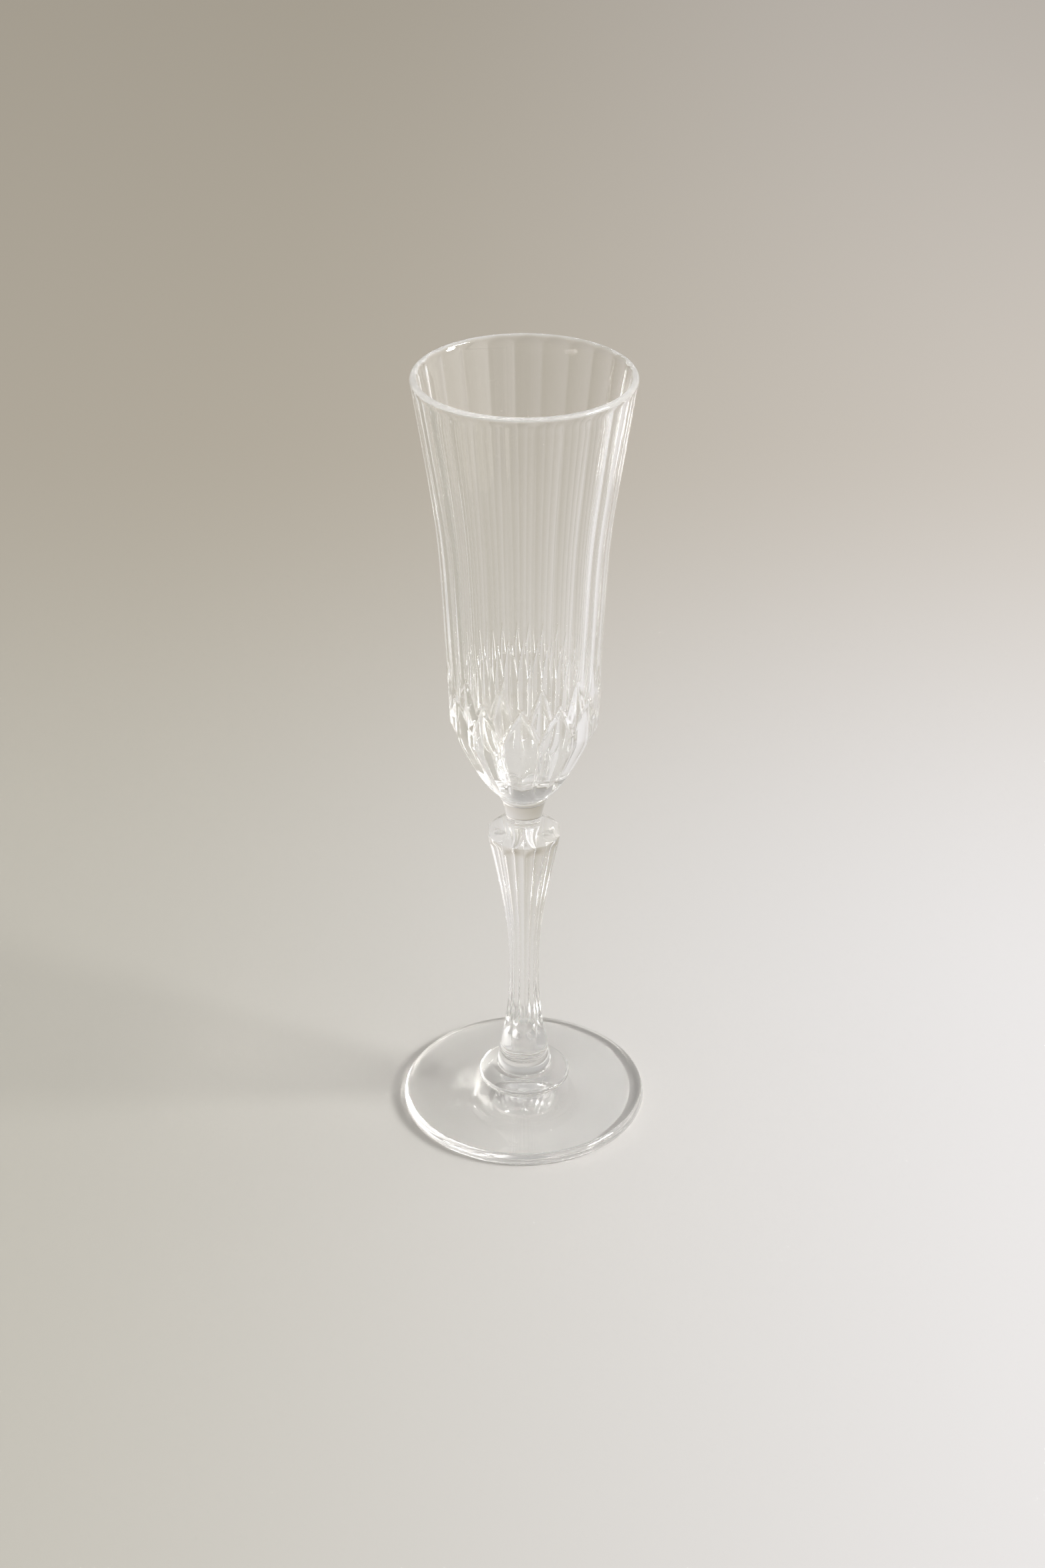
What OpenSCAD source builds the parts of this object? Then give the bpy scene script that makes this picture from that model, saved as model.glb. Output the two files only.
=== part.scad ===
// Cut crystal champagne flute: bowl, neck merese, knopped stem, collar and foot, fused in that order.
// Origin on the table at the middle of the foot, +Z up, millimetres.

/* [Foot] */
// Diameter of the foot
foot_d = 72.8; // [66:0.4:80]
// Thickness of the foot where its edge begins to roll over
foot_edge_t = 3.6; // [2.8:0.1:4]
// Width of the rolled edge
foot_edge_w = 1.9; // [1.5:0.1:3]
// Height of the foot's top where the collar sits on it
foot_h = 8; // [6.5:0.5:9]
// Width of the flat ring that touches the table
contact_w = 5; // [3:0.2:8]
// Depth of the hollow under the foot
hollow_h = 1.2; // [0.6:0.1:2]

/* [Collar] */
// Diameter of the round button between stem and foot
collar_d = 27.4; // [24:0.2:30]
// Height of the collar
collar_h = 3.8; // [3:0.1:5]

/* [Stem] */
// Number of panels cut along the stem
stem_sides = 10; // [8:2:12]
// Width of the stem's flared foot, across its ridges
stem_foot_d = 16.8; // [14:0.2:20]
// Width of the stem at its waist, across its ridges
waist_d = 9.4; // [8:0.1:11]
// Width of the knop, across its ridges
knop_d = 21.9; // [18:0.1:24]
// Depth to which a panel is dished, as a share of the stem's radius
panel_dish = 0.07; // [0.02:0.01:0.09]

/* [Neck] */
// Diameter of the neck where it leaves the knop
neck_d = 10; // [9:0.1:12]
// Diameter of the bead under the bowl
bead_d = 14.3; // [13.5:0.1:15.5]

/* [Bowl] */
// Diameter of the rim
rim_d = 61; // [56:0.2:64]
// Diameter of the bowl at its girth, the corner above the cone
girth_d = 41.8; // [38:0.2:44]
// Wall thickness at the rim
lip_t = 2.2; // [2.1:0.1:2.5]
// Wall thickness at the girth
girth_t = 2.9; // [2.6:0.1:3.5]
// Number of long flutes, two for each petal
flutes = 24; // [16:4:32]
// Depth of a flute
flute_depth = 0.35; // [0.25:0.05:0.6]
// Depth by which the upper row of petals lies behind the lower row
petal_step = 0.2; // [0.1:0.05:0.4]
// Depth of the v-shaped cut along the edges of the lower petals
mitre_depth = 0.35; // [0.2:0.05:0.5]
// Turn of the cut pattern about the axis, in degrees
pattern_turn = -2.5; // [-15:0.5:15]

/* [Hidden] */
$fn = 96;

// Heights of the joints between the pieces, and of the main features
stem_z = foot_h + collar_h;
dish_low = 24.5;
waist_low = 42;
waist_high = 52;
dish_high = 93.5;
knop_z = 94.3;
neck_z = 97.8;
bead_z = 106.6;
bowl_z = 107.5;
cavity_z = 114;
girth_z = 129.5;
flute_top_z = 233.8;
rim_z = 235;

// Radii of the same features
foot_r = foot_d / 2;
waist_r = waist_d / 2;
knop_r = knop_d / 2;
bead_r = bead_d / 2;
rim_r = rim_d / 2;
girth_r = girth_d / 2;

// Points on a quarter or half round edge, from angle a0 to a1 about a centre
function round_edge(cx, cz, rad, a0, a1, steps) =
    [for (i = [0:steps]) let (a = a0 + (a1 - a0) * i / steps)
        [cx + rad * cos(a), cz + rad * sin(a)]];

// Angle folded to the distance from the nearest of n equally spaced lines
function fold(a, n) = abs(a - round(a * n / 360) * 360 / n);

// A rise that is zero well below u = 0 and grows evenly well above it, blended over a width w
function soft_hinge(u, w) = (u + sqrt(u * u + w * w)) / 2;

function clamp01(x) = min(1, max(0, x));

// An even step from 0 to 1 with soft ends
function smooth(x) = let (t = clamp01(x)) t * t * (3 - 2 * t);

// Depth of a round-ended groove: 0 on its edges and at its ends, 1 along its middle
function hollow(across, from_end) = clamp01(1 - pow(1 - across, 2) - pow(1 - clamp01(from_end), 2));

// ---- Stem: a ridged column, waisted like two hyperbolas that meet ----

end_round = 0.8;
end_inset = 0.4;
dish_end = 3;
low_spread = sqrt(pow(stem_foot_d / 2, 2) - waist_r * waist_r) / (waist_low - stem_z);
high_spread = sqrt(knop_r * knop_r - waist_r * waist_r) / (knop_z - waist_high);

function column_r(z) =
    z < waist_low ? norm([waist_r, low_spread * (waist_low - z)])
    : z < waist_high ? waist_r
    : norm([waist_r, high_spread * (z - waist_high)]);

// Radius across the ridges: the column, its rounded lower end, and the shoulder on top of the knop
function ridge_r(z) =
    z < stem_z + end_round
        ? column_r(z) - end_inset * (1 - sqrt(1 - pow(clamp01((stem_z + end_round - z) / end_round), 2)))
    : z <= knop_z ? column_r(z)
    : let (t = (z - knop_z) / (neck_z - knop_z))
        knop_r + (neck_d / 2 - knop_r) * (0.55 * t + 0.45 * t * t);

// Dished panels, which end round above the foot of the stem and die out on the shoulder
function stem_r(z, a) =
    let (half = 180 / stem_sides, off = fold(a, stem_sides),
        flat_panel = cos(half) / cos(half - off),
        low = (z - dish_low) / dish_end,
        dish = panel_dish * hollow(off / half, min(low, (dish_high - z) / dish_end)),
        fade = pow(clamp01((neck_z - z) / (neck_z - knop_z)), 2))
    ridge_r(z) * (1 + fade * hollow(1, low) * (flat_panel - 1) - dish);

stem_levels = concat(
    [stem_z, stem_z + 0.3, stem_z + end_round, 16, 20],
    [for (t = [0, 0.15, 0.45, 1]) dish_low + dish_end * t],
    [32, 37, waist_low, waist_high],
    [for (z = [56:6:86]) z],
    [for (t = [1, 0.45, 0.15, 0]) dish_high - dish_end * t],
    [knop_z],
    [for (i = [1:5]) knop_z + (neck_z - knop_z) * i / 5]);

// ---- Bowl: a round wall, cut with flutes and two rows of creased petals ----

flare_z = 190;
flare_blend = 10;
wall_slope = 0.042;
cone_slope = 0.447;
base_power = 0.72;
petal_slope = 0.05;
girth_blend = 0.8;
pitch = 720 / flutes;
facet_turn = 19;
facet_low = 111.5;
facet_high = 116;
petal_point = 0.85;
mitre_w = 1.4;

flare = (rim_r - girth_r - wall_slope * (rim_z - girth_z))
    / (soft_hinge(rim_z - flare_z, flare_blend) - soft_hinge(girth_z - flare_z, flare_blend));

// Round wall above the girth
function wall_r(z) =
    girth_r + wall_slope * (z - girth_z)
    + flare * (soft_hinge(z - flare_z, flare_blend) - soft_hinge(girth_z - flare_z, flare_blend));

// Round base below the girth
function base_r(z) =
    bead_r + (girth_r - bead_r) * pow(clamp01((z - bowl_z) / (girth_z - bowl_z)), base_power);

// Radius along the middle of a petal: a cone, turning nearly upright at the girth
function crease_r(z) =
    girth_r + petal_slope * (z - girth_z)
    - (cone_slope - petal_slope) * soft_hinge(girth_z - z, girth_blend);

// Rows of petals: turn in pitches, tip height, height where they reach full width,
// half width in pitches, depth of their faces, and depth of the mitre cut along their edges
petal_rows = [
    [0.5, 150.5, 139.5, 0.3, petal_step, 0.4 * mitre_depth],
    [0, 144.2, 133.5, 0.5, 0, mitre_depth]];

// Half width of a petal at height z, in degrees: a point with nearly straight sides
function petal_half(row, z) =
    pitch * row[3] * pow(clamp01((row[1] - z) / (row[1] - row[2])), petal_point);

// Two flats that meet on the middle of a petal, as a share of the radius there
function facet(off) = cos(facet_turn) / cos(facet_turn - off);

// Shape of the mitre cut at a distance from the edge of a petal, 1 in its middle
function mitre(distance) = clamp01(1 - abs(distance) / mitre_w);

// Lay the petal rows over radius r, one after another from the topmost row down
function lay_petals(r, z, a, i = 0) =
    i == len(petal_rows) ? r
    : z > petal_rows[i][1] + 1 ? lay_petals(r, z, a, i + 1)
    : let (row = petal_rows[i], off = fold(a - row[0] * pitch, 360 / pitch),
        inside = (petal_half(row, z) - off) * r * PI / 180,
        face = (crease_r(z) - row[4]) * facet(off))
        lay_petals(r + smooth(0.5 + inside / (2 * mitre_w)) * (face - r) - row[5] * mitre(inside),
            z, a, i + 1);

// Lowest row of petals where it runs down the cone and fades into the round base
function cone_r(z, a) =
    let (off = fold(a, 360 / pitch), fade = smooth((z - facet_low) / (facet_high - facet_low)),
        r = min(base_r(z), crease_r(z)), edge = (pitch / 2 - off) * r * PI / 180)
    r * (1 + fade * (facet(off) - 1)) - fade * mitre_depth * mitre(edge);

// Flutes are shallow hollows between sharp ridges, with round tops just below the lip
function flute_r(z, a) =
    let (across = fold(a - pitch / 4, flutes) / (pitch / 4))
    wall_r(z) - flute_depth * hollow(across, (flute_top_z - z) / flute_end);

function bowl_r(z, a) = z < petal_rows[1][2] ? cone_r(z, a) : lay_petals(flute_r(z, a), z, a);

cavity_r = girth_r - girth_t - 4.5;
cavity_round = 6;
flute_end = 2;
lip_round = 1;
bowl_levels = concat(
    [bowl_z, bowl_z + 0.6, bowl_z + 1.7, 111, 113, 116, 120, 124, 128, girth_z, 131],
    [for (z = [132.2:1.2:152]) z],
    [for (z = [156:9:228]) z],
    [for (t = [1, 0.5, 0.15]) flute_top_z - flute_end * t],
    [flute_top_z, rim_z - lip_round]);

// ---- Solids ----

// Closed skin over rings of points, with flat ends
module ring_skin(rings) {
    n = len(rings[0]);
    last = len(rings) - 1;
    skin = [for (k = [0:last - 1]) for (i = [0:n - 1])
        let (j = (i + 1) % n, p = k * n)
        each [[p + i, p + n + i, p + n + j], [p + i, p + n + j, p + j]]];
    bottom = [[for (i = [0:n - 1]) i]];
    top = [[for (i = [0:n - 1]) last * n + n - 1 - i]];
    polyhedron([for (r = rings) each r], concat(bottom, skin, top), convexity = 10);
}

module foot() {
    edge_r = 1.2;
    roll_r = foot_r - foot_edge_w;
    rise = foot_h - foot_edge_t;
    seat_r = collar_d / 2 - 1.4;
    steps = 12;
    under = [for (i = [0:steps]) let (t = i / steps)
        [(foot_r - edge_r - contact_w) * t, hollow_h * (1 - t * t)]];
    roll = [for (i = [1:steps]) let (a = 90 * i / steps)
        [roll_r + foot_edge_w * cos(a), edge_r + (foot_edge_t - edge_r) * sin(a)]];
    top = [for (i = [1:steps]) let (t = i / steps)
        [roll_r + (seat_r - roll_r) * t, foot_edge_t + rise * (0.35 * t + 0.65 * pow(t, 3))]];
    color("#e6e8e4", 0.4)
        rotate_extrude()
            polygon(concat(under, round_edge(foot_r - edge_r, edge_r, edge_r, -90, 0, 4), roll, top,
                [[0, foot_h]]));
}

module stem_collar() {
    edge_r = 1;
    reach = collar_d / 2 - edge_r;
    seat_r = stem_foot_d / 2 + 0.3;
    color("#e9ebe7", 0.4)
        translate([0, 0, foot_h])
            rotate_extrude()
                polygon(concat(
                    [[0, 0], [reach - 0.4, 0]],
                    round_edge(reach, edge_r, edge_r, -70, 80, 8),
                    round_edge(seat_r + 0.6, collar_h - 0.6 + 0.02, 0.6, 70, 100, 3),
                    [[seat_r - 0.4, collar_h], [0, collar_h]]));
}

module stem() {
    n = stem_sides * 4;
    color("#eceeea", 0.4)
        ring_skin([for (z = stem_levels)
            [for (i = [0:n - 1]) let (a = 360 * i / n, r = stem_r(z, a))
                [r * sin(a), -r * cos(a), z]]]);
}

module neck_merese() {
    bead = bowl_z - bead_z;
    height = bead_z - bead - neck_z;
    neck = [for (i = [0:8]) let (t = i / 8)
        [neck_d / 2 + (bead_r - bead - neck_d / 2 + 0.25) * pow(t, 1.4), neck_z + height * t]];
    color("#eceeea", 0.4)
        rotate_extrude()
            polygon(concat([[0, neck_z]], neck, round_edge(bead_r - bead, bead_z, bead, -60, 90, 10),
                [[0, bowl_z]]));
}

module bowl() {
    n = flutes * 4;
    mouth_r = rim_r - lip_t;
    cone_end = cavity_z + 5.5;
    inner = [for (z = [girth_z + 2:6:rim_z - 2])
        let (t = (z - girth_z) / (rim_z - girth_z))
        [wall_r(z) - girth_t * (1 - t) - lip_t * t, z]];
    floor = [for (i = [0:8]) let (a = -90 + 9.75 * i)
        [cavity_r * cos(a), cavity_z + cavity_round * (1 + sin(a))]];
    cone = [for (i = [0:3]) let (z = cone_end + (girth_z + 0.8 - cone_end) * i / 3)
        [crease_r(z) - girth_t, z]];
    color("#eef0ec", 0.35)
        difference() {
            ring_skin(concat(
                [for (z = bowl_levels)
                    [for (i = [0:n - 1]) let (a = 360 * i / n, r = bowl_r(z, a), b = a + pattern_turn)
                        [r * sin(b), -r * cos(b), z]]],
                [for (q = [45, 90])
                    [for (i = [0:n - 1]) let (a = 360 * i / n + pattern_turn,
                        r = wall_r(rim_z) - lip_round * (1 - cos(q)))
                        [r * sin(a), -r * cos(a), rim_z - lip_round * (1 - sin(q))]]]));
            rotate_extrude()
                polygon(concat(floor, cone, inner, [[mouth_r, rim_z - 1], [mouth_r + 0.15, rim_z - 0.45],
                    [mouth_r + 0.55, rim_z - 0.08], [mouth_r + 0.7, rim_z + 1], [0, rim_z + 1]]));
        }
}

foot();
stem_collar();
stem();
neck_merese();
bowl();
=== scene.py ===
"""Cut crystal champagne flute on a pale floor, in soft light from the right."""
import math

import bpy
import numpy as np
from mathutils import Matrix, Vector


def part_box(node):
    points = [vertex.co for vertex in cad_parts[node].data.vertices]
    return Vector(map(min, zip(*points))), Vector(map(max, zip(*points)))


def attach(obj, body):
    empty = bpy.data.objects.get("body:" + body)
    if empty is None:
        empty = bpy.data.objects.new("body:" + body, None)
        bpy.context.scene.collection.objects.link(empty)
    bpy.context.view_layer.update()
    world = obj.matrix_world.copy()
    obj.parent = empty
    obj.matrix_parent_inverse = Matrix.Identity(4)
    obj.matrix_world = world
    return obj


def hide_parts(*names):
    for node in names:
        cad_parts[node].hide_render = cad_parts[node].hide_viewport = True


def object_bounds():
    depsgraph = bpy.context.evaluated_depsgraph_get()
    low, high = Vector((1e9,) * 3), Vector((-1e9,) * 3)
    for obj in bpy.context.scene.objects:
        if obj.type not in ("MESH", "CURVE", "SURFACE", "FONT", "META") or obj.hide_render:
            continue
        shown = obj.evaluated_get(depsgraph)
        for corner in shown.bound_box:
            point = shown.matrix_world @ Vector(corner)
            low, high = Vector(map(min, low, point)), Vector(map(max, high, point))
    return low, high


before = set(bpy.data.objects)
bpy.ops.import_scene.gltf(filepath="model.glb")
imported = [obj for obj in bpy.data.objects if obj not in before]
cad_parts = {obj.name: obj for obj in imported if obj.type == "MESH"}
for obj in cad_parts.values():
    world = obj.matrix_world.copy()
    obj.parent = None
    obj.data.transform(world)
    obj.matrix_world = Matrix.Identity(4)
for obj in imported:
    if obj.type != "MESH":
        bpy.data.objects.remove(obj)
cad_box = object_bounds()

MM = 0.001

# ---------------------------------------------------------------- dimensions, in millimetres
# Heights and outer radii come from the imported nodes. The rest repeats the CAD's values, except the
# petals' crease and mitre cuts, which are sharper and deeper here.
FOOT_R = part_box("foot")[1].x / MM
FOOT_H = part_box("foot")[1].z / MM
COLLAR_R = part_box("stem_collar")[1].x / MM
STEM_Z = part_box("stem")[0].z / MM
NECK_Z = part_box("stem")[1].z / MM
KNOP_R = -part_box("stem")[0].y / MM
BEAD_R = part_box("neck_merese")[1].x / MM
BOWL_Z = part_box("bowl")[0].z / MM
RIM_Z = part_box("bowl")[1].z / MM

# Foot
FOOT_EDGE_T = 3.6
FOOT_EDGE_W = 1.9
FOOT_EDGE_ROUND = 1.2
CONTACT_W = 5.0
HOLLOW_H = 1.2

# Collar and stem
SEAT_INSET = 1.4
COLLAR_ROUND = 1.0
SEAT_MARGIN = 0.3
SEAT_ROUND = 0.6
STEM_SIDES = 10
STEM_FOOT_R = 8.4
END_ROUND = 0.8
END_INSET = 0.4
WAIST_R = 4.7
WAIST_LOW = 42.0
WAIST_HIGH = 52.0
KNOP_Z = 94.3
PANEL_DISH = 0.07
DISH_LOW = 24.5
DISH_HIGH = 93.5
DISH_END = 3.0
NECK_R = 5.0
NECK_CURVE = 1.4
BEAD_ROUND = 0.9
BEAD_FILLET = 0.25

# Bowl
GIRTH_Z = 129.5
GIRTH_R = 20.9
RIM_R = 30.5
LIP_T = 2.2
LIP_ROUND = 1.0
GIRTH_T = 2.9
CAVITY_Z = 114.0
CAVITY_R = 13.5
CAVITY_ROUND = 6.0
FLUTES = 24
FLUTE_DEPTH = 0.35
FLUTE_TOP_Z = 233.8
FLUTE_END = 2.0
PITCH = 720 / FLUTES
PATTERN_TURN = -2.5
WALL_SLOPE = 0.042
FLARE_Z = 190.0
FLARE_BLEND = 10.0
CONE_SLOPE = 0.447
PETAL_SLOPE = 0.05
GIRTH_BLEND = 0.8
FACET_LOW = 111.5
FACET_HIGH = 116.0
BASE_POWER = 0.72
PETAL_STEP = 0.2
PETAL_POINT = 0.85
FACET_TURN = 22.0
MITRE_W = 0.7
MITRE_DEPTH = 0.8
UPPER_MITRE_DEPTH = 0.5

# Rows of petals: turn in pitches, tip height, height of full width, half width in pitches,
# depth of the faces, and depth of the mitre cut along the edges
PETAL_ROWS = (
    (0.5, 150.5, 139.5, 0.3, PETAL_STEP, UPPER_MITRE_DEPTH),
    (0.0, 144.2, 133.5, 0.5, 0.0, MITRE_DEPTH),
)

# Points round each piece, and the spacing of the rings on cut and on plain glass
STEM_COLUMNS = 240
BOWL_COLUMNS = 480
FINE_STEP = 0.4
PLAIN_STEP = 4.0

# Floor, in metres: how far it reaches, where its right edge lies, and how far it lies below the glass
FLOOR_REACH = 6.0
FLOOR_RIGHT = 0.75
FLOOR_DROP = 0.00005

# Colours of the floor from left to right, near and far, with painted light that is brighter to the right and
# near, and of the room's wall and ceiling
FLOOR_NEAR_PAINTED_LIGHT = ((0.486, 0.472, 0.427), (0.625, 0.62, 0.632))
FLOOR_FAR_PAINTED_LIGHT = ((0.42, 0.388, 0.332), (0.51, 0.481, 0.449))
WALL_COLOUR = (0.515, 0.495, 0.468)
CEILING_COLOUR = (0.625, 0.612, 0.592)

# Window: place, point it faces, width and height in metres, power in watts, and colour
WINDOW_PLACE = (1.23, -0.25, 0.80)
WINDOW_TARGET = (0.0, 0.0, 0.02)
WINDOW_SIZE = (0.62, 0.28)
WINDOW_POWER = 18.0
WINDOW_COLOUR = (1.0, 0.99, 0.975)

# Camera: place in heights of the glass, angle below the level in degrees, and lens in millimetres
CAMERA_PLACE = (-0.002, -2.873, 2.160)
CAMERA_DOWN = 30.51
CAMERA_LENS = 62.8
SENSOR_WIDTH = 36.0

# Times that light may bounce on its way through the many walls of glass
GLASS_BOUNCES = 128
CLEAR_BOUNCES = 64
DIFFUSE_BOUNCES = 3


# ---------------------------------------------------------------- shape rules, the same as in the CAD
def cosd(a):
    """Cosine of an angle in degrees."""
    return np.cos(np.radians(a))


def fold(a, n):
    """Angle to the nearest of n equally spaced lines."""
    return np.abs(a - np.round(a * n / 360) * 360 / n)


def soft_hinge(u, w):
    """A rise that is zero well below u = 0 and grows evenly above it, blended over a width w."""
    return (u + np.sqrt(u * u + w * w)) / 2


def smooth(x):
    """An even step from 0 to 1 with soft ends."""
    x = np.clip(x, 0, 1)
    return x * x * (3 - 2 * x)


def hollow(across, from_end):
    """Depth of a round-ended groove: 0 on its edges and ends, 1 along its middle."""
    from_end = min(1.0, max(0.0, from_end))
    return np.clip(1 - (1 - across) ** 2 - (1 - from_end) ** 2, 0, 1)


def column_r(z):
    """Radius of the stem as two hyperbolas that meet at the waist."""
    low = math.sqrt(STEM_FOOT_R**2 - WAIST_R**2) / (WAIST_LOW - STEM_Z)
    high = math.sqrt(KNOP_R**2 - WAIST_R**2) / (KNOP_Z - WAIST_HIGH)
    if z < WAIST_LOW:
        return math.hypot(WAIST_R, low * (WAIST_LOW - z))
    return math.hypot(WAIST_R, high * max(0.0, z - WAIST_HIGH))


def ridge_r(z):
    """Radius of the stem across its ridges."""
    if z > KNOP_Z:
        t = (z - KNOP_Z) / (NECK_Z - KNOP_Z)
        return KNOP_R + (NECK_R - KNOP_R) * (0.55 * t + 0.45 * t * t)
    u = max(0.0, STEM_Z + END_ROUND - z) / END_ROUND
    return column_r(z) - END_INSET * (1 - math.sqrt(max(0.0, 1 - u * u)))


def stem_r(z, a):
    """Dished panels, which end round above the foot of the stem and die out on the shoulder."""
    half = 180 / STEM_SIDES
    off = fold(a, STEM_SIDES)
    panel = cosd(half) / cosd(half - off)
    low = (z - DISH_LOW) / DISH_END
    dish = PANEL_DISH * hollow(off / half, min(low, (DISH_HIGH - z) / DISH_END))
    fade = min(1.0, (NECK_Z - z) / (NECK_Z - KNOP_Z)) ** 2
    return ridge_r(z) * (1 + fade * hollow(1.0, low) * (panel - 1) - dish)


def wall_r(z):
    """Round wall of the bowl above its girth, across the ridges of the flutes."""
    start = soft_hinge(GIRTH_Z - FLARE_Z, FLARE_BLEND)
    flare = (RIM_R - GIRTH_R - WALL_SLOPE * (RIM_Z - GIRTH_Z)) / (
        soft_hinge(RIM_Z - FLARE_Z, FLARE_BLEND) - start
    )
    return GIRTH_R + WALL_SLOPE * (z - GIRTH_Z) + flare * (soft_hinge(z - FLARE_Z, FLARE_BLEND) - start)


def base_r(z):
    """Round base of the bowl below its girth."""
    return BEAD_R + (GIRTH_R - BEAD_R) * max(0.0, (z - BOWL_Z) / (GIRTH_Z - BOWL_Z)) ** BASE_POWER


def crease_r(z):
    """Radius along the middle of a petal: a cone, turning nearly upright at the girth."""
    turned = (CONE_SLOPE - PETAL_SLOPE) * soft_hinge(GIRTH_Z - z, GIRTH_BLEND)
    return GIRTH_R + PETAL_SLOPE * (z - GIRTH_Z) - turned


def petal_half(row, z):
    """Half width of a petal in degrees at height z: a point with nearly straight sides."""
    s = min(1.0, max(0.0, (row[1] - z) / (row[1] - row[2])))
    return PITCH * row[3] * s**PETAL_POINT


def facet(off):
    """Two flats that meet on the middle of a petal, as a share of the radius there."""
    return cosd(FACET_TURN) / cosd(FACET_TURN - off)


def mitre(distance):
    """Shape of the v-shaped cut along the edge of a petal, 1 in its middle."""
    return np.clip(1 - np.abs(distance) / MITRE_W, 0, 1)


def flute_r(z, a):
    """Wall with shallow flutes between sharp ridges, round at their tops just below the lip."""
    across = fold(a - PITCH / 4, FLUTES) / (PITCH / 4)
    return wall_r(z) - FLUTE_DEPTH * hollow(across, (FLUTE_TOP_Z - z) / FLUTE_END)


def cone_r(z, a):
    """Lowest row of petals where it runs down the cone and fades into the round base."""
    off = fold(a, 360 / PITCH)
    fade = smooth((z - FACET_LOW) / (FACET_HIGH - FACET_LOW))
    r = min(base_r(z), crease_r(z))
    edge = (PITCH / 2 - off) * np.radians(1) * r
    return r * (1 + fade * (facet(off) - 1)) - fade * MITRE_DEPTH * mitre(edge)


def bowl_r(z, a):
    """Flutes, then two rows of petals laid over them, each edged by a mitre cut."""
    if z < PETAL_ROWS[1][2]:
        return cone_r(z, a)
    r = flute_r(z, a)
    for row in PETAL_ROWS:
        if z < row[1] + 1:
            off = fold(a - row[0] * PITCH, 360 / PITCH)
            inside = (petal_half(row, z) - off) * np.radians(1) * r
            face = (crease_r(z) - row[4]) * facet(off)
            r = r + smooth(0.5 + inside / (2 * MITRE_W)) * (face - r) - row[5] * mitre(inside)
    return r


# ---------------------------------------------------------------- mesh building
def angles(columns):
    """Evenly spaced angles round the axis, in degrees."""
    return np.arange(columns) * 360 / columns


def ring(r, z, columns, turn=0.0):
    """Ring of points at height z, with radius r round the axis, starting at the front."""
    a = np.radians(angles(columns) + turn)
    r = np.broadcast_to(r, a.shape)
    return np.stack([r * np.sin(a), -r * np.cos(a), np.full_like(a, z)], 1)


def arc(cx, cz, rx, rz, start, end, steps):
    """Points (radius, height) on an elliptical arc."""
    t = np.radians(np.linspace(start, end, steps + 1))
    return [(cx + rx * math.cos(q), cz + rz * math.sin(q)) for q in t]


def skin(name, rings, materials, welds=()):
    """Closed smooth mesh over rings, with a point closing each end.

    Faces between ring k and k + 1 take the weld material for each k in welds; -1 is the first
    end and len(rings) - 1 the last end.
    """
    n = len(rings[0])
    first = rings[0].mean(0)
    last = rings[-1].mean(0)
    points = np.concatenate([*rings, [first, last]]) * MM
    faces = []
    slots = []
    i = np.arange(n)
    j = (i + 1) % n
    for k in range(len(rings) - 1):
        p = k * n
        faces += np.stack([p + i, p + j, p + n + j, p + n + i], 1).tolist()
        slots += [int(k in welds)] * n
    total = len(rings) * n
    top = total - n
    faces += np.stack([j, i, np.full(n, total)], 1).tolist()
    slots += [int(-1 in welds)] * n
    faces += np.stack([top + i, top + j, np.full(n, total + 1)], 1).tolist()
    slots += [int(len(rings) - 1 in welds)] * n
    mesh = bpy.data.meshes.new(name)
    mesh.from_pydata(points.tolist(), [], faces)
    for m in materials:
        mesh.materials.append(m)
    mesh.polygons.foreach_set("material_index", slots)
    mesh.polygons.foreach_set("use_smooth", [True] * len(faces))
    mesh.update()
    obj = bpy.data.objects.new(name, mesh)
    bpy.context.scene.collection.objects.link(obj)
    return obj


def stand_for(obj, node):
    """The piece rides with the glass and is shown in place of the CAD node."""
    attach(obj, "root")
    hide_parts(node)


# ---------------------------------------------------------------- pieces
def make_foot(materials):
    """Dished underside, flat ring, rolled edge and domed top, joined to the collar on its last ring."""
    seat_r = COLLAR_R - SEAT_INSET
    roll_r = FOOT_R - FOOT_EDGE_W
    inner = FOOT_R - FOOT_EDGE_ROUND - CONTACT_W
    rise = FOOT_H - FOOT_EDGE_T
    under = [(inner * t, HOLLOW_H * (1 - t * t)) for t in np.linspace(0.02, 1, 24)]
    edge = arc(FOOT_R - FOOT_EDGE_ROUND, FOOT_EDGE_ROUND, FOOT_EDGE_ROUND, FOOT_EDGE_ROUND, -90, 0, 8)
    roll = arc(roll_r, FOOT_EDGE_ROUND, FOOT_EDGE_W, FOOT_EDGE_T - FOOT_EDGE_ROUND, 0, 90, 28)[1:]
    top = [
        (roll_r + (seat_r - roll_r) * t, FOOT_EDGE_T + rise * (0.35 * t + 0.65 * t**3))
        for t in np.linspace(0, 1, 32)[1:]
    ]
    rings = [ring(r, z, STEM_COLUMNS) for r, z in under + edge + roll + top]
    return skin("foot_glass", rings, materials, welds=(len(rings) - 1,))


def make_collar(materials):
    """Round button with a rounded edge and a small step up to the stem."""
    height = STEM_Z - FOOT_H
    reach = COLLAR_R - COLLAR_ROUND
    seat_r = STEM_FOOT_R + SEAT_MARGIN
    outline = [(COLLAR_R - SEAT_INSET, 0.0)]
    outline += arc(reach, COLLAR_ROUND, COLLAR_ROUND, COLLAR_ROUND, -70, 80, 16)
    outline += arc(seat_r + SEAT_ROUND, height - SEAT_ROUND + 0.02, SEAT_ROUND, SEAT_ROUND, 70, 100, 6)
    outline += [(seat_r - 0.1, height)]
    rings = [ring(r, FOOT_H + z, STEM_COLUMNS) for r, z in outline]
    rings.append(ring(stem_r(STEM_Z, angles(STEM_COLUMNS)), STEM_Z, STEM_COLUMNS))
    return skin("collar_glass", rings, materials, welds=(-1, len(rings) - 1))


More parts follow.
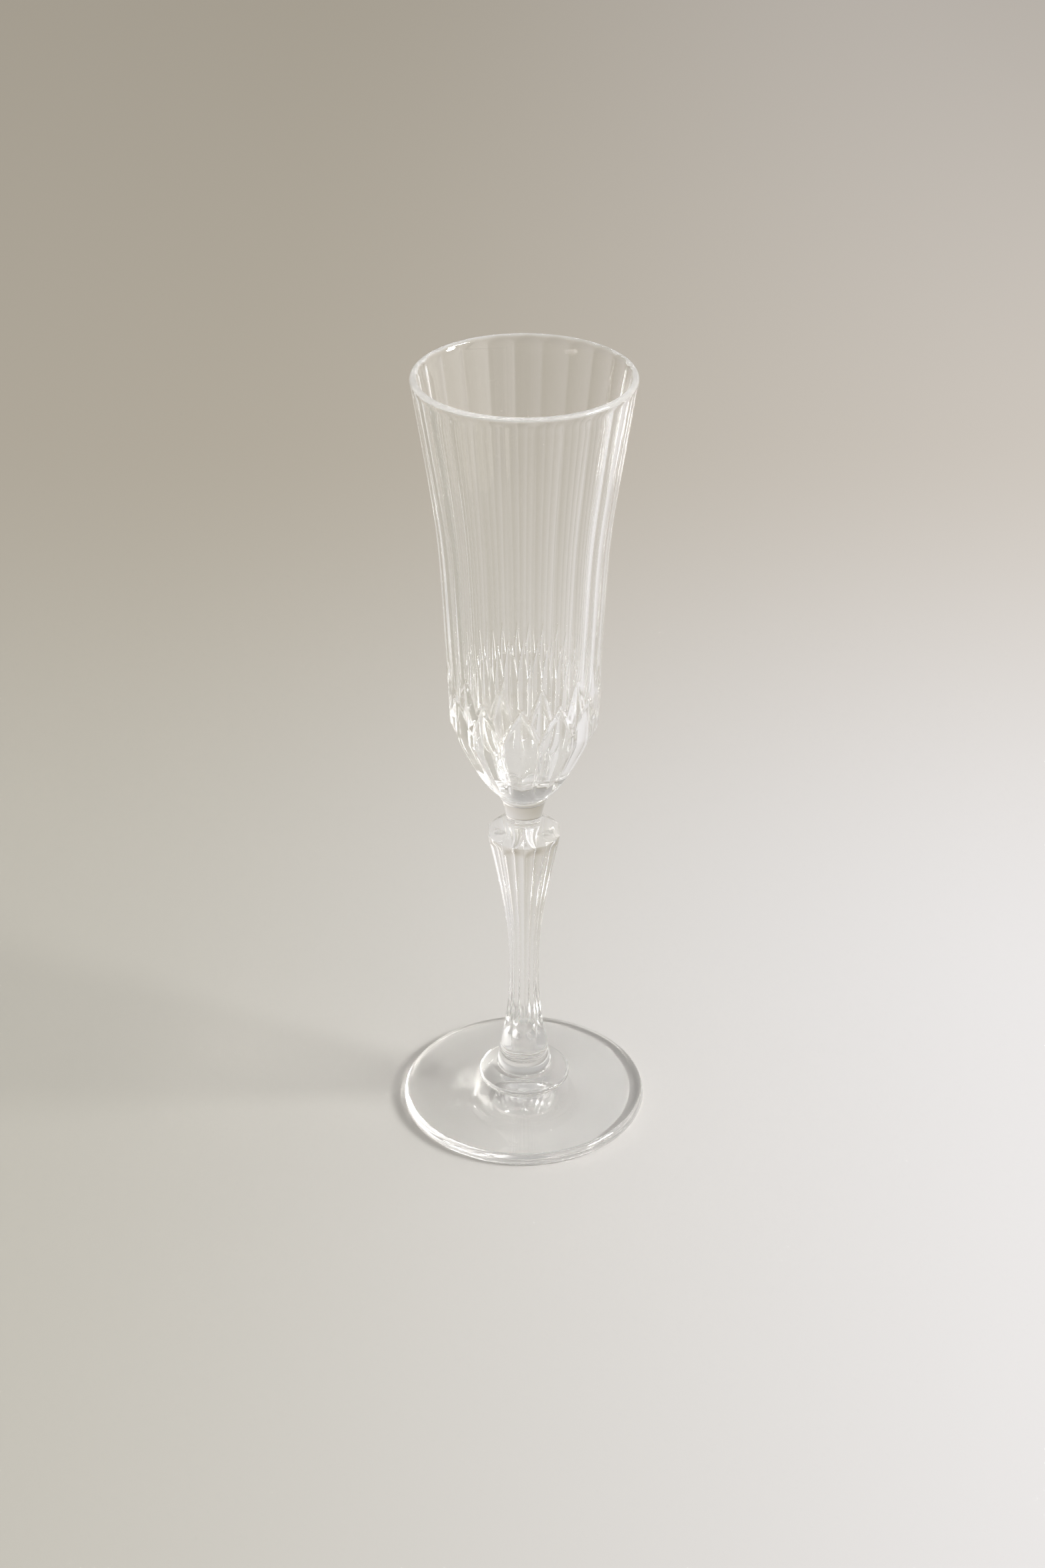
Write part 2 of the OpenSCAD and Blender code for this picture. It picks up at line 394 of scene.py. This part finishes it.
def make_stem(materials):
    """Ridged column from its rounded lower end, over the knop, to the neck."""
    a = angles(STEM_COLUMNS)
    rounded = STEM_Z + END_ROUND * (1 - np.cos(np.linspace(0, math.pi / 2, 8)))
    shaft = np.arange(STEM_Z + END_ROUND + 0.6, KNOP_Z, 0.9)
    shoulder = np.linspace(KNOP_Z, NECK_Z, 18)
    levels = [*rounded, *shaft, *shoulder]
    rings = [ring(stem_r(z, a), z, STEM_COLUMNS) for z in levels]
    return skin("stem_glass", rings, materials, welds=(-1, len(rings) - 1))


def make_merese(materials):
    """Slim neck that widens up to the rounded bead under the bowl."""
    bead_z = BOWL_Z - BEAD_ROUND
    height = bead_z - BEAD_ROUND - NECK_Z
    reach = BEAD_R - BEAD_ROUND + BEAD_FILLET - NECK_R
    outline = [(NECK_R + reach * t**NECK_CURVE, NECK_Z + height * t) for t in np.linspace(0, 1, 12)]
    outline += arc(BEAD_R - BEAD_ROUND, bead_z, BEAD_ROUND, BEAD_ROUND, -60, 90, 20)
    rings = [ring(r, z, STEM_COLUMNS) for r, z in outline]
    return skin("merese_glass", rings, materials, welds=(-1, len(rings) - 1))


def bowl_levels():
    """Heights of the outer rings, close together where petals and flutes end."""
    cone = np.linspace(BOWL_Z + 0.3, GIRTH_Z - 2.5, 18)
    petals = np.arange(GIRTH_Z - 2, PETAL_ROWS[0][1] + 1.5, FINE_STEP)
    flutes = np.arange(petals[-1] + 1, FLUTE_TOP_Z - FLUTE_END - 1, PLAIN_STEP)
    flute_tops = np.arange(FLUTE_TOP_Z - FLUTE_END - 0.5, FLUTE_TOP_Z + 0.2, FINE_STEP)
    return [BOWL_Z, *cone, *petals, *flutes, *flute_tops]


def bowl_lip():
    """Outline (radius, height) from the plain band over the rounded rim to the inside."""
    lip_z = RIM_Z - LIP_ROUND
    band = [(wall_r(z), z) for z in (FLUTE_TOP_Z + 0.05, lip_z)]
    return band + arc(wall_r(lip_z) - LIP_ROUND, lip_z, LIP_ROUND, LIP_ROUND, 0, 180, 14)[1:]


def bowl_inside():
    """Outline down the inner wall and cone to the middle of the round floor."""
    wall = [
        (wall_r(z) - LIP_T - (GIRTH_T - LIP_T) * (RIM_Z - z) / (RIM_Z - GIRTH_Z), z)
        for z in np.arange(RIM_Z - LIP_ROUND - 1.2, GIRTH_Z + 2, -PLAIN_STEP)
    ]
    cone_end = CAVITY_Z + 5.5
    cone = [(crease_r(z) - GIRTH_T, z) for z in np.linspace(GIRTH_Z + 0.8, cone_end, 12)]
    return wall + cone + arc(0, CAVITY_Z + CAVITY_ROUND, CAVITY_R, CAVITY_ROUND, -12, -88, 20)


def make_bowl(materials):
    """Cut outer skin, lip and smooth cavity as one closed skin."""
    a = angles(BOWL_COLUMNS)
    rings = [ring(BEAD_R - BEAD_ROUND, BOWL_Z, BOWL_COLUMNS, PATTERN_TURN)]
    rings += [ring(bowl_r(z, a), z, BOWL_COLUMNS, PATTERN_TURN) for z in bowl_levels()]
    rings += [ring(r, z, BOWL_COLUMNS, PATTERN_TURN) for r, z in bowl_lip() + bowl_inside()]
    return skin("bowl_glass", rings, materials, welds=(-1,))


# ---------------------------------------------------------------- nodes
def node_tree(name):
    """New material with an empty node tree."""
    material = bpy.data.materials.new(name)
    material.use_nodes = True
    material.node_tree.nodes.clear()
    return material, material.node_tree


def smooth_span(tree, value, low, high, start=0.0, end=1.0):
    """Goes from start to end as value goes from low to high, with soft ends."""
    span = tree.nodes.new("ShaderNodeMapRange")
    span.interpolation_type = "SMOOTHSTEP"
    for name, number in (("From Min", low), ("From Max", high), ("To Min", start), ("To Max", end)):
        span.inputs[name].default_value = number
    tree.links.new(value, span.inputs["Value"])
    return span.outputs["Result"]


def mix_colours(tree, factor, a, b):
    """Blend of two colours, each given as numbers or as another node's output."""
    mix = tree.nodes.new("ShaderNodeMix")
    mix.data_type = "RGBA"
    tree.links.new(factor, mix.inputs["Factor"])
    for name, value in (("A", a), ("B", b)):
        if isinstance(value, tuple):
            mix.inputs[name].default_value = (*value, 1)
        else:
            tree.links.new(value, mix.inputs[name])
    return mix.outputs["Result"]


def split_place(tree, output):
    """X, Y and Z of a place, by name."""
    place = tree.nodes.new("ShaderNodeTexCoord")
    split = tree.nodes.new("ShaderNodeSeparateXYZ")
    tree.links.new(place.outputs[output], split.inputs["Vector"])
    return split.outputs


# ---------------------------------------------------------------- materials
def crystal_material():
    """Clear crystal, faintly drawn along its length."""
    material, tree = node_tree("crystal")
    nodes = tree.nodes
    links = tree.links
    glass = nodes.new("ShaderNodeBsdfPrincipled")
    glass.inputs["Base Color"].default_value = (0.995, 0.997, 0.993, 1)
    glass.inputs["Transmission Weight"].default_value = 1.0
    glass.inputs["IOR"].default_value = 1.53
    glass.inputs["Roughness"].default_value = 0.0

    place = nodes.new("ShaderNodeTexCoord")
    stretch = nodes.new("ShaderNodeMapping")
    stretch.inputs["Scale"].default_value = (420, 420, 14)
    streaks = nodes.new("ShaderNodeTexNoise")
    streaks.inputs["Scale"].default_value = 1.0
    streaks.inputs["Detail"].default_value = 3.0
    bump = nodes.new("ShaderNodeBump")
    bump.inputs["Strength"].default_value = 0.05
    bump.inputs["Distance"].default_value = 0.00012
    links.new(place.outputs["Object"], stretch.inputs["Vector"])
    links.new(stretch.outputs["Vector"], streaks.inputs["Vector"])
    links.new(streaks.outputs["Fac"], bump.inputs["Height"])
    links.new(bump.outputs["Normal"], glass.inputs["Normal"])

    out = nodes.new("ShaderNodeOutputMaterial")
    links.new(glass.outputs["BSDF"], out.inputs["Surface"])
    return material


def weld_material():
    """The fused joint between two pieces, where there is no surface to see."""
    material, tree = node_tree("fused_joint")
    clear = tree.nodes.new("ShaderNodeBsdfTransparent")
    out = tree.nodes.new("ShaderNodeOutputMaterial")
    tree.links.new(clear.outputs["BSDF"], out.inputs["Surface"])
    return material


def floor_material():
    """Matt paper with painted light: lighter and cooler to the right and near, darker and warmer far to the
    left.
    """
    material, tree = node_tree("floor_paper_painted_light")
    paper = tree.nodes.new("ShaderNodeBsdfPrincipled")
    paper.inputs["Roughness"].default_value = 0.9
    paper.inputs["Specular IOR Level"].default_value = 0.0
    place = split_place(tree, "Object")
    # Painted light: the paper's colour is lighter to the right and near and darker far to the left, where
    # the window's light falls off
    near = mix_colours(tree, smooth_span(tree, place["X"], -0.20, 0.19), *FLOOR_NEAR_PAINTED_LIGHT)
    far = mix_colours(tree, smooth_span(tree, place["X"], -0.17, 0.30), *FLOOR_FAR_PAINTED_LIGHT)
    shade = mix_colours(tree, smooth_span(tree, place["Y"], 0.04, 0.52), near, far)
    out = tree.nodes.new("ShaderNodeOutputMaterial")
    tree.links.new(shade, paper.inputs["Base Color"])
    tree.links.new(paper.outputs["BSDF"], out.inputs["Surface"])
    return material


# ---------------------------------------------------------------- stage, light and camera
def make_floor():
    """Flat floor that ends to the right, just below the glass."""
    mesh = bpy.data.meshes.new("floor")
    corners = [
        (x, y, -FLOOR_DROP)
        for x, y in (
            (-FLOOR_REACH, -FLOOR_REACH),
            (FLOOR_RIGHT, -FLOOR_REACH),
            (FLOOR_RIGHT, FLOOR_REACH),
            (-FLOOR_REACH, FLOOR_REACH),
        )
    ]
    mesh.from_pydata(corners, [], [(0, 1, 2, 3)])
    mesh.materials.append(floor_material())
    floor = bpy.data.objects.new("floor", mesh)
    bpy.context.scene.collection.objects.link(floor)


def make_world():
    """A pale room: bright ceiling, dimmer walls, much brighter to the right, a little dimmer at the back."""
    world = bpy.data.worlds.new("room")
    bpy.context.scene.world = world
    world.use_nodes = True
    tree = world.node_tree
    tree.nodes.clear()
    way = split_place(tree, "Generated")
    colour = mix_colours(tree, smooth_span(tree, way["Z"], 0.0, 0.7), WALL_COLOUR, CEILING_COLOUR)
    side = smooth_span(tree, way["X"], 0.1, 0.95, 0.85, 3.4)
    depth = smooth_span(tree, way["Y"], 0.0, 1.0, 1.0, 0.9)
    strength = tree.nodes.new("ShaderNodeMath")
    strength.operation = "MULTIPLY"
    tree.links.new(side, strength.inputs[0])
    tree.links.new(depth, strength.inputs[1])
    back = tree.nodes.new("ShaderNodeBackground")
    tree.links.new(colour, back.inputs["Color"])
    tree.links.new(strength.outputs["Value"], back.inputs["Strength"])
    out = tree.nodes.new("ShaderNodeOutputWorld")
    tree.links.new(back.outputs["Background"], out.inputs["Surface"])


def make_window():
    """The one large lamp, high on the right and a little in front."""
    data = bpy.data.lights.new("window", "AREA")
    data.shape = "RECTANGLE"
    data.size, data.size_y = WINDOW_SIZE
    data.energy = WINDOW_POWER
    data.color = WINDOW_COLOUR
    light = bpy.data.objects.new("window", data)
    light.location = WINDOW_PLACE
    facing = Vector(WINDOW_TARGET) - Vector(WINDOW_PLACE)
    light.rotation_euler = facing.to_track_quat("-Z", "Y").to_euler()
    bpy.context.scene.collection.objects.link(light)


def make_camera():
    """Looks down at the glass from a place set by the glass's own height."""
    height = (cad_box[1] - cad_box[0]).z
    data = bpy.data.cameras.new("camera")
    data.sensor_width = SENSOR_WIDTH
    data.lens = CAMERA_LENS
    camera = bpy.data.objects.new("camera", data)
    camera.location = [share * height for share in CAMERA_PLACE]
    camera.rotation_euler = (math.radians(90 - CAMERA_DOWN), 0, 0)
    bpy.context.scene.collection.objects.link(camera)
    bpy.context.scene.camera = camera


def set_paths():
    """Enough bounces for light to cross the many glass walls, and lamps shine through them."""
    cycles = bpy.context.scene.cycles
    cycles.max_bounces = GLASS_BOUNCES
    cycles.transmission_bounces = GLASS_BOUNCES
    cycles.glossy_bounces = GLASS_BOUNCES
    cycles.diffuse_bounces = DIFFUSE_BOUNCES
    cycles.transparent_max_bounces = CLEAR_BOUNCES
    cycles.blur_glossy = 0.0
    cycles.sample_clamp_indirect = 0.0
    cycles.caustics_reflective = True
    cycles.caustics_refractive = True
    bpy.context.scene.view_settings.view_transform = "Standard"


make_camera()
crystal = [crystal_material(), weld_material()]
stand_for(make_foot(crystal), "foot")
stand_for(make_collar(crystal), "stem_collar")
stand_for(make_stem(crystal), "stem")
stand_for(make_merese(crystal), "neck_merese")
stand_for(make_bowl(crystal), "bowl")
make_floor()
make_world()
make_window()
set_paths()
